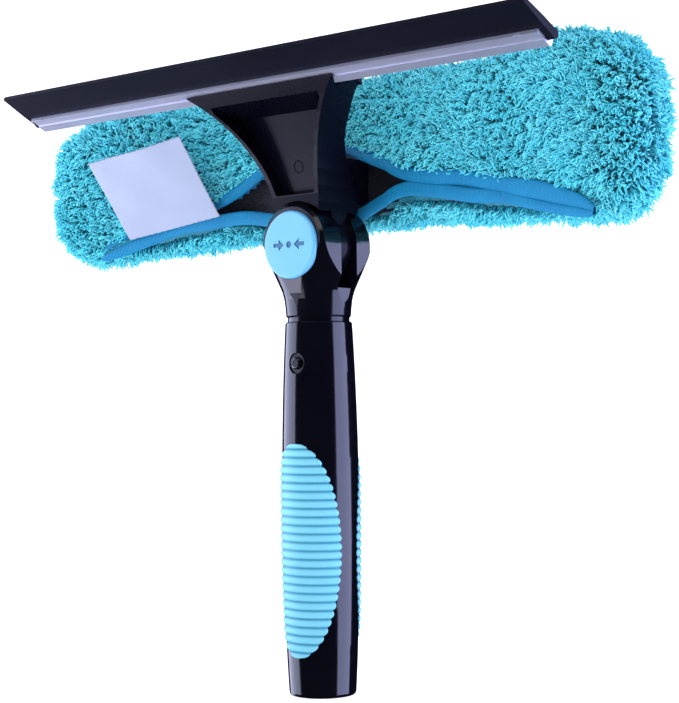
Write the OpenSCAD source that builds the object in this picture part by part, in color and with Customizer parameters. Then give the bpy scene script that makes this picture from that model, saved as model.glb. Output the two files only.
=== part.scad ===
// Window cleaner with a swivelling head: a squeegee blade in front, a microfibre scrubber behind.
// Millimetres. Origin: centre of the handle's bottom. Z up the handle, X along the blade, -Y is the front.

/* [Handle] */
// Length of the handle tube
handle_len = 165; // [150:1:180]
// Radius of the handle at both ends
handle_end_r = 14.9; // [14.5:0.1:16]
// How much the handle swells between its ends
handle_bulge = 2.25; // [1:0.05:3]
// Radius of the bore that takes an extension pole
pole_r = 11; // [9:0.5:11]
// Depth of the pole socket
pole_depth = 60; // [40:1:62]
// Centre height of the grip inlays
grip_mid = 64.4; // [56:0.1:68]
// Length of a grip inlay
grip_len = 93.5; // [70:0.5:100]
// Half angle that a grip inlay covers round the handle
grip_half_angle = 69; // [50:1:75]
// Distance from rib to rib
rib_pitch = 3.7; // [3:0.1:5]
// Height of the snap button above the handle's bottom
snap_z = 146.6; // [140:0.1:150]

/* [Swivel] */
// Height of the swivel axis
pivot_z = 198.6; // [196:0.1:202]
// Radius of the fork's ears
ear_r = 18.2; // [17.5:0.1:18.5]
// Radius of the push button
button_r = 15; // [13:0.1:15]
// Thickness of the tongue between the ears
tongue_t = 10.4; // [9:0.1:10.4]
// Radius of the tongue
tongue_r = 15.5; // [14.5:0.1:16]
// Teeth of the swivel lock
teeth = 24; // [24]

/* [Squeegee] */
// Length of the rubber blade
blade_len = 300; // [250:1:350]
// Length of the aluminium channel
channel_len = 293.2; // [245:0.1:345]
// How far the blade rises towards the front, in degrees
blade_angle = 25; // [20:1:30]
// How far the rubber stands out of the channel
blade_out = 16.5; // [12:0.5:20]
// Height of the channel's mouth
mouth_z = 269.9; // [268:0.1:271]
// Distance of the channel's mouth in front of the handle's axis
mouth_front = 40.85; // [39:0.05:42]
// Half width of the jaw that holds the channel
jaw_half = 43; // [41:0.5:45]

/* [Scrubber] */
// Width of the sleeve from end to end
sleeve_w = 348; // [340:1:352]
// Plan radius of the sleeve's front
sleeve_front_r = 454.8; // [454.6:0.1:456]
// Plan radius of the sleeve's back
sleeve_back_r = 492; // [488:1:496]
// Lower edge of the sleeve at its middle
sleeve_bottom = 209; // [206:1:210]
// Upper edge of the sleeve at its middle
sleeve_top = 276; // [268:1:277]
// Distance of the bend's centre in front of the handle's axis
bend_front = 439; // [439]

/* [Hidden] */
$fn = 96;
e = 0.01;
black = [0.05, 0.05, 0.08];
aqua = [0.42, 0.82, 0.90];
teal = [0.25, 0.70, 0.72];
blue = [0.12, 0.60, 0.82];
steel = [0.70, 0.71, 0.74];

// Handle: an arc from end to end
arc_r = (pow(handle_len / 2, 2) + pow(handle_bulge, 2)) / (2 * handle_bulge);
function handle_r(z) = handle_end_r + handle_bulge - pow(z - handle_len / 2, 2) / (2 * arc_r);
rim = 1.5;
bush_r = pole_r + 1.2;
web_z = pole_depth + 3;
chamber_r = 12.6;
chamber_top = 101;
spigot_bore_r = 11.6;
spigot_r = 11.5;
spigot_in_r = 9;
spigot_z = 104;
grip_depth = 1.8;
rib_h = 0.8;
ribs = floor(grip_len / rib_pitch) + 1;
snap_pin_r = 2.7;
snap_stand = 0.5;
snap_seat_y = 7.4;

// Swivel, in distances in front of the handle's axis
slot_half = tongue_t / 2 + 0.1;
ear_front = 17.8;
ear_back = 14.6;
button_face = 19.5;
button_floor = 9.5;
gear_tip_r = 9.5;
gear_root_r = 8;
gear_front = 9.3;
gear_back = 1.3;
socket_floor = -3;
bolt_r = 3;
arch_r = 19.5;
shelf_z = 179.6;
collar_z = 167.7;

// Head body: its sides flare in an arc, and its front leans forward, up to the jaw
neck_half = 12.6;
flare_z = 210;
flare_r = 65.5;
body_back = 12.8;
front_low = 14;
front_low_z = 214;
jaw_s = 3;
screw_x = 20;
screw_s = 17;

// Blade frame: s runs back into the channel, n is the normal on the upper side
channel_t = 6.4;
channel_d = 10.5;
rubber_t = 3.4;
tip_t = 2;
bead_r = 2.2;
bead_s = 6.4;
lip_w = 1;
groove_w = 4.2;
groove_d = 0.5;
plate_t = 2.6;
plate_s = 22;

// Scrubber bar
bar_front_r = 463;
bar_back_r = 471;
bar_low = 214.5;
bar_high = 250;
bar_half_angle = 19.5;
bar_half = 153;
boss_low = 218;
boss_high = 238.5;
boss_half = 10;
boss_end = 25.4;
bar_screw_x = 5.5;

// Seam of the sleeve: it drops towards both ends, and opens in the middle for the head's boss
seam_mid_z = 226;
seam_drop = 24;
seam_half = 150;
function seam_z(x) = seam_mid_z - seam_drop * pow(x / seam_half, 2);
slit_left = -64;
slit_right = 45;
function slit_up(x) = 17.5 * max(0, 1 - pow((x + 10) / 55, 2));
function slit_down(x) = 12 * max(0, 1 - pow((x + 8) / 65, 2));
binding_w = 6;
binding_t = 1.8;

// Care label: a woven tag that leans forward out of the seam
label_w = 53;
label_h = 44;
label_t = 0.6;
label_corner = [-120.8, -1.7, 210];
label_turn = [36.9, -9.2, 11.7];

// Puts a shape drawn upwards so that it points to the front from the swivel axis
module on_pivot() { translate([0, 0, pivot_z]) rotate([90, 0, 0]) children(); }

// Puts a profile drawn in (s, n) across the blade and runs it along X
module along_blade(length) {
    translate([0, -mouth_front, mouth_z]) rotate([-blade_angle, 0, 0])
        rotate([90, 0, 90]) translate([0, 0, -length / 2]) linear_extrude(length) children();
}

// Drills at s, x on the blade's seat, along the normal
module blade_drill(x, s, low, high, r) {
    translate([0, -mouth_front, mouth_z]) rotate([-blade_angle, 0, 0])
        translate([x, s, low]) cylinder(h = high - low, r = r);
}

// A ring sector of the scrubber's bend between two radii and two heights
module bend_ring(r_in, r_out, low, high, half_angle) {
    translate([0, -bend_front, 0]) rotate([0, 0, 90 - half_angle])
        rotate_extrude(angle = 2 * half_angle, $fn = 128)
            translate([r_in, low]) square([r_out - r_in, high - low]);
}

// Runs an outline in the X-Z plane from front to back
module front_prism(y_front, y_back) {
    translate([0, y_back, 0]) rotate([90, 0, 0]) linear_extrude(y_back - y_front) children();
}

module handle_outline(shift, steps = 22) {
    polygon(concat([[0, 0]],
        [for (a = [0:30:90]) [handle_r(0) + shift - rim + rim * sin(a), rim - rim * cos(a)]],
        [for (i = [1:steps - 1]) let (z = handle_len * i / steps) [handle_r(z) + shift, z]],
        [[handle_r(handle_len) + shift, handle_len - 0.6],
         [handle_r(handle_len) + shift - 0.6, handle_len], [0, handle_len]]));
}

// The region of a grip inlay: an oval on the round handle, in front of a plane
module grip_region(reach) {
    half = grip_len / 2;
    edge_y = -handle_r(grip_mid) * cos(grip_half_angle);
    front_prism(-reach, edge_y)
        polygon([for (a = [0:7.5:359]) [handle_r(grip_mid) * sin(grip_half_angle * cos(a)),
            grip_mid + half * sin(a)]]);
}

// Ribbed ring whose base is the floor of the inlay's pocket
module rib_ring() {
    half = ribs * rib_pitch / 2;
    rotate_extrude() polygon(concat(
        [for (i = [0:1:16]) let (z = grip_mid + half - 2 * half * i / 16) [handle_r(z) - grip_depth, z]],
        [for (i = [0:ribs - 1], p = [0:3]) let (z = grip_mid - half + rib_pitch * (i + 0.08 + p * 0.28))
            [handle_r(z) + ((p == 1 || p == 2) ? rib_h : 0.15), z]]));
}

module grip_pocket() {
    difference() {
        grip_region(25);
        rotate_extrude() polygon(concat([[0, 0]],
            [for (i = [0:1:16]) let (z = grip_mid + ribs * rib_pitch * (i / 16 - 0.5))
                [handle_r(z) - grip_depth, z]], [[0, handle_len]]));
    }
}

module grip_inlay() {
    intersection() {
        rib_ring();
        grip_region(25);
    }
}

module handle_shell() {
    color(black) difference() {
        rotate_extrude() handle_outline(0);
        translate([0, 0, -e]) cylinder(h = pole_depth + e, r = bush_r + 0.05);
        translate([0, 0, web_z]) cylinder(h = chamber_top - web_z, r = chamber_r);
        translate([0, 0, chamber_top - e]) cylinder(h = handle_len, r = spigot_bore_r);
        grip_pocket();
        mirror([0, 1, 0]) grip_pocket();
        translate([0, 0, snap_z]) rotate([90, 0, 0]) cylinder(h = 25, r = snap_pin_r + 0.15);
        translate([0, -handle_r(snap_z) + 1.1, snap_z]) rotate([90, 0, 0]) cylinder(h = 9, r1 = 4.2, r2 = 8);
    }
}

module grip_inlay_front() { color(aqua) grip_inlay(); }

module grip_inlay_rear() { color(aqua) mirror([0, 1, 0]) grip_inlay(); }

module pole_socket_bush() {
    color([0.16, 0.16, 0.18]) difference() {
        cylinder(h = pole_depth, r = bush_r);
        translate([0, 0, -e]) cylinder(h = pole_depth + 2 * e, r = pole_r);
    }
}

// Fork: collar and spigot below, two ears above with the slot for the tongue
module yoke_front_outline() {
    translate([0, pivot_z]) circle(r = ear_r);
    translate([-ear_r, handle_len]) square([2 * ear_r, pivot_z - handle_len]);
}

module yoke_side_outline() {
    polygon([[-14.4, 168], [-15.4, 177.5], [-ear_front, 184.5], [-ear_front, 220], [ear_back, 220],
        [ear_back, 168]]);
}

// The round flare that the flat faces of the ears run into
module yoke_flare() {
    rotate_extrude() polygon([[0, handle_len - 1], [13.8, handle_len - 1], [13.8, collar_z - 0.8],
        [14.5, collar_z], [14.7, 171], [15.2, 175], [16.1, 178.5], [17.6, 182], [19.6, 186.5], [22.6, 193.4],
        [25.5, 203], [27, 220], [0, 220]]);
}

module toothed(outer, inner, gap) {
    pitch = 360 / teeth;
    polygon([for (i = [0:teeth - 1], p = [[-0.27, inner], [-0.15, outer], [0.15, outer], [0.27, inner]])
        let (a = pitch * (i + p[0]) + (p[0] < 0 ? -gap : gap)) p[1] * [cos(a), sin(a)]]);
}

module yoke() {
    color(black) difference() {
        union() {
            intersection() {
                yoke_flare();
                front_prism(-20, 20) yoke_front_outline();
                rotate([90, 0, 90]) translate([0, 0, -25]) linear_extrude(50)
                    union() {
                        yoke_side_outline();
                        translate([-15, handle_len - 1]) square([29.6, 8]);
                    }
            }
            translate([0, 0, spigot_z]) cylinder(h = handle_len + 2 - spigot_z, r = spigot_r);
        }
        translate([0, 0, handle_len]) difference() {
            cylinder(h = 1.2, r = 20);
            translate([0, 0, -1]) cylinder(h = 4, r = 13.8);
        }
        translate([0, 0, handle_len - 2]) difference() {
            cylinder(h = 2, r = 20);
            translate([0, 0, -1]) cylinder(h = 4, r = spigot_r);
        }
        translate([-25, -slot_half, shelf_z]) cube([50, 2 * slot_half, 60]);
        translate([0, 0, spigot_z - e]) cylinder(h = 60, r = spigot_in_r);
        translate([0, 0, snap_z]) rotate([90, 0, 0]) cylinder(h = 25, r = snap_pin_r + 0.1);
        on_pivot() {
            translate([0, 0, button_floor]) cylinder(h = 20, r = button_r + 0.15);
            translate([0, 0, slot_half - 1]) linear_extrude(20) toothed(gear_tip_r + 0.2, gear_root_r + 0.2, 0.6);
            translate([0, 0, -30]) cylinder(h = 40, r = bolt_r + 0.06);
            translate([0, 0, -30]) cylinder(h = 20.4, r = 5.9, $fn = 6);
            translate([0, 0, -30]) cylinder(h = 30 - ear_back + 1.2, r = 7.05);
        }
        // Bevel round the front ear's outer edge
        on_pivot() translate([0, 0, ear_front - 1.3]) difference() {
            cylinder(h = 2, r = ear_r + 3);
            translate([0, 0, -e]) cylinder(h = 2.02, r1 = ear_r, r2 = ear_r - 2.2);
            translate([-30, -60, -1]) cube([60, 60, 4]);
        }
        // Tapered notches at both sides where the slot runs out
        for (side = [-1, 1]) translate([side * 17.5, 0, shelf_z - 9])
            rotate([90, 0, 90]) translate([0, 0, -2.5]) linear_extrude(5)
                polygon([[-slot_half, 9.1], [slot_half, 9.1], [0.4, 0]]);
    }
}

module snap_button() {
    front = handle_r(snap_z) + snap_stand;
    color(black) translate([0, 0, snap_z]) rotate([90, 0, 0]) rotate_extrude()
        polygon(concat([[0, 4.4], [4, 4.4], [4, 7.6], [snap_pin_r, 7.6]],
            [for (a = [0:22.5:90]) [snap_pin_r - 0.9 + 0.9 * cos(a), front - 0.9 + 0.9 * sin(a)]],
            [[0, front]]));
}

// A round-wire coil from low to high round Z, with closed ends
module coil(r, wire_r, low, high, turns) {
    sides = 8;
    per_turn = 14;
    n = turns * per_turn;
    ring = [for (i = [0:n], k = [0:sides - 1])
        let (a = 360 * i / per_turn, b = 360 * k / sides, h = low + wire_r + (high - low - 2 * wire_r) * i / n)
        [(r + wire_r * cos(b)) * cos(a), (r + wire_r * cos(b)) * sin(a), h + wire_r * sin(b)]];
    skin = [for (i = [0:n - 1], k = [0:sides - 1]) let (j = (k + 1) % sides)
        [i * sides + k, (i + 1) * sides + k, (i + 1) * sides + j, i * sides + j]];
    ends = [[for (k = [0:sides - 1]) k], [for (k = [sides - 1:-1:0]) n * sides + k]];
    polyhedron(points = ring, faces = concat(skin, ends), convexity = 8);
}

module snap_spring() {
    color(steel) translate([0, 0, snap_z]) rotate([90, 0, 0]) coil(2.6, 0.35, -snap_seat_y, 4.3, 6);
}

module button_spring() { color(steel) on_pivot() coil(4.9, 0.5, socket_floor + 0.1, 6.2, 4); }

// Two arrows that point at a dot: press here
module press_mark() {
    circle(r = 1.5);
    for (side = [-1, 1]) scale([side, 1]) polygon([[2.9, 0], [6, 2.6], [6, 0.9], [9, 0.9], [9, -0.9],
        [6, -0.9], [6, -2.6]]);
}

module push_button() {
    edge = 1.2;
    color(aqua) on_pivot() difference() {
        rotate_extrude() polygon(concat([[0, button_face - 2]],
            [[6.6, button_face - 2], [6.6, gear_front], [7.9, gear_front], [7.9, button_face - 2],
             [button_r - 1.7, button_face - 2], [button_r - 1.7, 13.6], [button_r, 13.6]],
            [for (a = [0:18:90]) [button_r - edge + edge * cos(a), button_face - edge + edge * sin(a)]],
            [[0, button_face]]));
        translate([0, 0, button_face - 0.4]) linear_extrude(2) press_mark();
    }
}

module lock_gear() {
    color([0.85, 0.85, 0.82]) on_pivot() difference() {
        union() {
            translate([0, 0, slot_half + 0.1]) linear_extrude(gear_front - slot_half - 0.1)
                toothed(gear_tip_r, gear_root_r, 0);
            translate([0, 0, gear_back]) cylinder(h = 5, r = gear_root_r - 0.2);
        }
        translate([0, 0, -e]) cylinder(h = 20, r = bolt_r + 0.1);
        translate([0, 0, -e]) cylinder(h = 6.3, r = 6.2);
    }
}

module pivot_bolt() {
    color(steel) on_pivot() difference() {
        union() {
            translate([0, 0, -13]) cylinder(h = 23, r = bolt_r);
            translate([0, 0, 9.5]) cylinder(h = 2.8, r = 5);
        }
        translate([0, 0, 10.5]) cylinder(h = 5, r = 2.3, $fn = 6);
    }
}

module pivot_nut() {
    color(steel) on_pivot() difference() {
        translate([0, 0, -13]) cylinder(h = 3.3, r = 5.7, $fn = 6);
        translate([0, 0, -20]) cylinder(h = 20, r = bolt_r);
    }
}

module pivot_cap() {
    color(black) on_pivot() translate([0, 0, -ear_back]) cylinder(h = 1.1, r = 7);
}

// Half width of the head body at a height
function flare_x(z) = neck_half + flare_r - sqrt(pow(flare_r, 2) - pow(max(0, z - flare_z), 2));

// A point of the blade frame as y and z
function seat(s, n) = [-mouth_front + s * cos(blade_angle) + n * sin(blade_angle),
    mouth_z - s * sin(blade_angle) + n * cos(blade_angle)];

jaw_tip = seat(jaw_s, -channel_t / 2);
function front_y(t) = -front_low + (jaw_tip[0] + front_low) * pow(t, 1.6);
function front_point(t) = [front_y(t), front_low_z + (jaw_tip[1] - front_low_z) * t];

// An outline that is the same on both sides, from its right half
module both_sides(right) {
    polygon(concat(right, [for (i = [len(right) - 1:-1:0]) [-right[i][0], right[i][1]]]));
}

module body_outline() {
    top = 264.8;
    both_sides(concat([[neck_half, 204]],
        [for (i = [0:12]) let (z = flare_z + (top - flare_z) * sin(i * 7.5)) [flare_x(z), z]],
        [[jaw_half, 265.6], [jaw_half, 290]]));
}

module body_side() {
    polygon(concat([[-front_low, 204]], [for (i = [0:8]) front_point(i / 8)],
        [seat(12, -channel_t / 2), seat(12, channel_t / 2), seat(plate_s, channel_t / 2),
         [-13.3, 255.5], [-6.9, 244], [body_back, 219], [body_back, 204]]));
}

module recess_outline() {
    half_top = 31.3;
    both_sides(concat([[neck_half - 1.8, 221]],
        [for (i = [0:8]) let (z = 222 + (258 - 222) * i / 8) [min(half_top, flare_x(z) - 2.2), z]],
        [[half_top, 262]]));
}

module recess() {
    intersection() {
        front_prism(-60, 20) recess_outline();
        rotate([90, 0, 90]) translate([0, 0, -50]) linear_extrude(100)
            polygon([[-8.5, 220], [-18.5, 256.5], [-38, 261], [-60, 266], [-60, 220]]);
    }
}

module head_body() {
    color(black) difference() {
        union() {
            intersection() {
                front_prism(-60, 30) body_outline();
                rotate([90, 0, 90]) translate([0, 0, -60]) linear_extrude(120) body_side();
            }
            on_pivot() translate([0, 0, -tongue_t / 2]) cylinder(h = tongue_t, r = tongue_r);
            translate([-neck_half, -tongue_t / 2, pivot_z]) cube([2 * neck_half, tongue_t, 22]);
            translate([-boss_half, -4, boss_low]) cube([2 * boss_half, boss_end + 4, boss_high - boss_low]);
        }
        on_pivot() {
            translate([0, 0, tongue_t / 2]) cylinder(h = 30, r = arch_r);
            translate([0, 0, -30 - tongue_t / 2]) cylinder(h = 30, r = arch_r);
            translate([0, 0, socket_floor]) cylinder(h = 4.2, r = gear_tip_r + 0.3);
            translate([0, 0, 1.1]) linear_extrude(10) toothed(gear_tip_r + 0.2, gear_root_r + 0.2, 0.6);
            translate([0, 0, -10]) cylinder(h = 20, r = bolt_r + 0.08);
        }
        recess();
        along_blade(100) translate([0.5, -channel_t / 2 - 0.05])
            square([channel_d + 0.05, channel_t + 0.1]);
        for (x = [-screw_x, screw_x]) blade_drill(x, screw_s, -3, 10, 1.6);
        for (x = [-bar_screw_x, bar_screw_x]) translate([x, 8, (boss_low + boss_high) / 2]) rotate([-90, 0, 0])
            cylinder(h = 20, r = 1.5);
    }
}

module jaw_plate() {
    color(black) difference() {
        intersection() {
            along_blade(2 * jaw_half) polygon([[1.5, channel_t / 2 + 0.1], [2.5, channel_t / 2 + plate_t],
                [plate_s - 1.5, channel_t / 2 + plate_t], [plate_s, channel_t / 2 + 0.1]]);
            front_prism(-60, 30) translate([-jaw_half, 240]) square([2 * jaw_half, 60]);
        }
        for (x = [-screw_x, screw_x]) {
            blade_drill(x, screw_s, 0, 20, 1.8);
            blade_drill(x, screw_s, channel_t / 2 + 1.3, 20, 3.2);
        }
    }
}

module jaw_screws() {
    color(steel) for (x = [-screw_x, screw_x]) difference() {
        union() {
            blade_drill(x, screw_s, -2.8, channel_t / 2 + 1.5, 1.55);
            blade_drill(x, screw_s, channel_t / 2 + 1.35, channel_t / 2 + 2.5, 3.1);
        }
        blade_drill(x, screw_s, channel_t / 2 + 1.8, 20, 0.9);
    }
}

// Extruded channel: a mouth for the rubber, a round chamber for its bead
module blade_channel() {
    corner = 1.2;
    color([0.78, 0.78, 0.84]) difference() {
        along_blade(channel_len) difference() {
            union() {
                translate([0, -channel_t / 2]) square([channel_d - corner, channel_t]);
                translate([corner, corner - channel_t / 2]) square([channel_d - corner, channel_t - 2 * corner]);
                for (side = [-1, 1]) translate([channel_d - corner, side * (channel_t / 2 - corner)])
                    circle(r = corner, $fn = 32);
            }
            translate([-1, -rubber_t / 2 - 0.05]) square([bead_s + 1, rubber_t + 0.1]);
            translate([bead_s, 0]) circle(r = bead_r + 0.15, $fn = 40);
            // A shallow groove runs along both faces, behind the lips
            for (side = [-1, 1]) translate([lip_w, side * channel_t / 2 - groove_d])
                square([groove_w, 2 * groove_d]);
        }
        // Crimps near both ends that lock the rubber
        for (side = [-1, 1]) blade_drill(side * (channel_len / 2 - 9.6), 0.3, -6, -channel_t / 2 + 0.5, 1.6);
    }
}

module rubber_blade() {
    color([0.07, 0.08, 0.13]) along_blade(blade_len) union() {
        polygon([[bead_s, rubber_t / 2], [-2, rubber_t / 2], [-blade_out + 1, tip_t / 2],
            [-blade_out, tip_t / 2 - 0.3], [-blade_out, -tip_t / 2], [-2, -rubber_t / 2], [bead_s, -rubber_t / 2]]);
        translate([bead_s, 0]) circle(r = bead_r, $fn = 40);
    }
}

module scrubber_bar() {
    mid = (boss_low + boss_high) / 2;
    bar_h = bar_high - bar_low;
    color([0.08, 0.08, 0.10]) difference() {
        intersection() {
            bend_ring(bar_front_r, bar_back_r, bar_low, bar_high, bar_half_angle);
            front_prism(-60, 60) rounded(-bar_half, bar_low, bar_half, bar_high, bar_h / 2 - 0.1);
        }
        translate([-boss_half - 0.1, 0, boss_low - 0.1])
            cube([2 * boss_half + 0.2, boss_end + 0.1, boss_high - boss_low + 0.2]);
        for (x = [-bar_screw_x, bar_screw_x]) translate([x, 20, mid]) rotate([-90, 0, 0]) {
            cylinder(h = 20, r = 1.75);
            translate([0, 0, 9.2]) cylinder(h = 10, r = 3.2);
        }
        // Stiffening grooves in the back
        for (z = [bar_low + 7, bar_high - 9])
            bend_ring(bar_back_r - 2.5, bar_back_r + 5, z, z + 2, bar_half_angle - 2);
    }
}

module bar_screws() {
    color(steel) for (x = [-bar_screw_x, bar_screw_x]) translate([x, 10, (boss_low + boss_high) / 2]) rotate([-90, 0, 0])
        difference() {
            union() {
                cylinder(h = 19.5, r = 1.45);
                translate([0, 0, 19.3]) cylinder(h = 1.6, r = 2.9);
            }
            translate([0, 0, 20]) cylinder(h = 3, r = 0.9);
        }
}

// The opening of the slit in the front view
module slit_outline() {
    n = 14;
    function slit_x(i) = slit_left + (slit_right - slit_left) * i / n;
    polygon(concat([for (i = [0:n]) [slit_x(i), seam_z(slit_x(i)) + slit_up(slit_x(i))]],
        [for (i = [n:-1:0]) [slit_x(i), seam_z(slit_x(i)) - slit_down(slit_x(i))]]));
}

// Rectangle with round corners, from one corner to the other
module rounded(x0, z0, x1, z1, r) {
    polygon([for (c = [[x1 - r, z1 - r, 0], [x0 + r, z1 - r, 90], [x0 + r, z0 + r, 180], [x1 - r, z0 + r, 270]],
        a = [0:15:90]) [c[0] + r * cos(c[2] + a), c[1] + r * sin(c[2] + a)]]);
}

// Front view of the sleeve: both edges drop a little towards the round ends
module sleeve_outline() {
    half = sleeve_w / 2;
    corner = 22;
    function fall(x, drop) = drop * pow(x / half, 2);
    low = sleeve_bottom - fall(half - corner, 13);
    high = sleeve_top - fall(half - corner, 7);
    end = concat([for (a = [-90:15:0]) [half - corner + corner * cos(a), low + corner + corner * sin(a)]],
        [for (a = [0:15:90]) [half - corner + corner * cos(a), high - corner + corner * sin(a)]]);
    top = [for (i = [7:-1:-7]) let (x = (half - corner) * i / 8) [x, sleeve_top - fall(x, 7)]];
    bottom = [for (i = [-7:7]) let (x = (half - corner) * i / 8) [x, sleeve_bottom - fall(x, 13)]];
    polygon(concat(end, top, [for (i = [len(end) - 1:-1:0]) [-end[i][0], end[i][1]]], bottom));
}

// Plan view of the sleeve with its round ends
module sleeve_plan() {
    end_r = 19;
    mid_r = (sleeve_front_r + sleeve_back_r) / 2;
    a = asin((sleeve_w / 2 - end_r + 2) / mid_r);
    out = [sin(a), cos(a)];
    side = [cos(a), -sin(a)];
    both_sides(concat([for (b = [0:15:180]) (mid_r - end_r * cos(b)) * out + end_r * sin(b) * side
        - [0, bend_front]],
        [for (i = [1:-0.1:0.05]) (sleeve_back_r + 5) * [sin(a * i), cos(a * i)] - [0, bend_front]]));
}

module sleeve() {
    color(teal) difference() {
        intersection() {
            translate([0, -bend_front, 0]) rotate([0, 0, 90 - 25])
                rotate_extrude(angle = 50, $fn = 128)
                    rounded(sleeve_front_r, sleeve_bottom - 12, sleeve_back_r, sleeve_top, 14);
            front_prism(-80, 80) sleeve_outline();
            translate([0, 0, 150]) linear_extrude(150) sleeve_plan();
        }
        bend_ring(bar_front_r - 2, bar_back_r + 3, bar_low - 2, bar_high + 2, bar_half_angle + 0.8);
        front_prism(-20, 30) slit_outline();
        binding_band(1, 0.1);
        binding_band(-1, 0.1);
    }
}

module sleeve_lining() {
    color(blue) difference() {
        bend_ring(bar_front_r - 1.9, bar_back_r + 2.9, bar_low - 1.9, bar_high + 1.9, bar_half_angle + 0.7);
        bend_ring(bar_front_r - 0.9, bar_back_r + 1.9, bar_low - 0.9, bar_high + 0.9, bar_half_angle + 0.4);
        front_prism(-20, 30) slit_outline();
    }
}

// A band let into the sleeve's front that follows one edge of the slit and then the seam
module binding_band(side, gap = 0) {
    x_end = 150 + gap;
    n = 30;
    seam_gap = 0.3;
    function opening(x) = max(seam_gap, side > 0 ? slit_up(x) : slit_down(x));
    function band_x(i) = x_end * (2 * i / n - 1);
    intersection() {
        bend_ring(sleeve_front_r - (gap > 0 ? 5 : 0), sleeve_front_r + binding_t + gap, sleeve_bottom - 12,
            sleeve_top, 20);
        front_prism(-40, 30) polygon(concat(
            [for (i = [0:n]) [band_x(i), seam_z(band_x(i)) + side * (opening(band_x(i)) - 4 * gap)]],
            [for (i = [n:-1:0]) [band_x(i), seam_z(band_x(i)) + side * (opening(band_x(i)) + binding_w + gap)]]));
    }
}

module binding_upper() { color(blue) binding_band(1); }

module binding_lower() { color(blue) binding_band(-1); }

module care_label() {
    color([0.80, 0.82, 0.90]) translate(label_corner) rotate(label_turn) cube([label_w, label_t, label_h]);
}

handle_shell();
grip_inlay_front();
grip_inlay_rear();
pole_socket_bush();
yoke();
snap_button();
snap_spring();
push_button();
lock_gear();
button_spring();
pivot_bolt();
pivot_nut();
pivot_cap();
head_body();
jaw_plate();
jaw_screws();
blade_channel();
rubber_blade();
scrubber_bar();
bar_screws();
sleeve();
sleeve_lining();
binding_upper();
binding_lower();
care_label();
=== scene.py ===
# %% [markdown]
# This lesson dresses a window cleaner: a squeegee blade in front, a fluffy microfibre scrubber behind,
# a swivel with a round push button and a short handle with soft ribbed grips. The frame comes from the
# CAD model. Everything is in metres and stands where the CAD parts stand, so nothing has to be fitted.

import math

import bpy
import numpy as np
from mathutils import Matrix, Vector


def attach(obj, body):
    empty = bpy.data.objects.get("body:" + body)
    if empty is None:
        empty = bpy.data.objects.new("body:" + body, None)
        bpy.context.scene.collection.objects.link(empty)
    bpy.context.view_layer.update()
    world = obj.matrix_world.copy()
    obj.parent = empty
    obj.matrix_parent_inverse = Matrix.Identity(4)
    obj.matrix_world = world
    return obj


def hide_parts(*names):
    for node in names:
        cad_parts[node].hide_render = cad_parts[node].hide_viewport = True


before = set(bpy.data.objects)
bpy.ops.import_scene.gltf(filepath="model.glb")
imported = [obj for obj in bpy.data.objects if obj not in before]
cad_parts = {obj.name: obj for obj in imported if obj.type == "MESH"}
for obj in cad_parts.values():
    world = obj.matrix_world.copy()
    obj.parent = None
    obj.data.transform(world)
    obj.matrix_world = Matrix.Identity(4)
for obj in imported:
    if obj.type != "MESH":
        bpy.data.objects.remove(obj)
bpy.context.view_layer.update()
MM = 0.001

# %% [markdown]
# The camera comes first. It stands to the right of the tool's front, a little below the blade, and looks
# slightly up. A turn, a pitch and a small roll are easier to read than a matrix, so the axes are built
# from those angles, one after another.

# %% Camera
camera_place = Vector((0.5029, -0.5789, 0.1296))
azimuth, yaw, pitch, roll = (math.radians(a) for a in (40.98, 0.68, 1.66, -0.69))
towards_camera = Vector((math.sin(azimuth), -math.cos(azimuth), 0))
to_the_right = Vector((math.cos(azimuth), math.sin(azimuth), 0))
upwards = Vector((0, 0, 1))


def turned(a, b, angle):
    """Turns the axis pair a, b by an angle in their own plane."""
    return a * math.cos(angle) + b * math.sin(angle), b * math.cos(angle) - a * math.sin(angle)


look, across = turned(-towards_camera, to_the_right, yaw)
look, tall = turned(look, upwards, pitch)
across, tall = turned(across, tall, roll)
camera_data = bpy.data.cameras.new("camera")
camera_data.lens, camera_data.sensor_width = 88.0, 36.0
camera = bpy.data.objects.new("camera", camera_data)
camera.matrix_world = Matrix.Translation(camera_place) @ Matrix((across, tall, -look)).transposed().to_4x4()
bpy.context.collection.objects.link(camera)
bpy.context.scene.camera = camera
print("camera looks along", [round(v, 3) for v in look])

# %% [markdown]
# Every finish is a procedural material. Shader maths reads best as plain formulas, so one small class
# wraps a socket and turns + - * / into Math nodes, with the reflected forms so that 1 - mask works.

# %% Shader values with arithmetic
class Signal:
    """One output of a shader node. Arithmetic on it adds Math nodes to the same material."""

    def __init__(self, finish, socket):
        self.finish, self.socket = finish, socket

    def math(self, operation, *others):
        return self.finish.node("ShaderNodeMath", {"operation": operation}, (self, *others))

    def __add__(self, other):
        return self.math("ADD", other)

    def __mul__(self, other):
        return self.math("MULTIPLY", other)

    __radd__, __rmul__ = __add__, __mul__

    def __sub__(self, other):
        return self.math("SUBTRACT", other)

    def __rsub__(self, other):
        return (self * -1.0) + other

    def between(self, low, high):
        """0 below low, 1 above high, and an even slope between them."""
        return self.finish.node("ShaderNodeMapRange", {"clamp": True}, (self, low, high, 0.0, 1.0))


# %% [markdown]
# A Finish is one Principled material. Numbers that are the same all over go straight onto its sockets.
# What varies over the surface is linked only to colour, roughness, metallic and the bump, because
# those are the channels a baked model keeps. One method adds every other kind of node.

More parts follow.
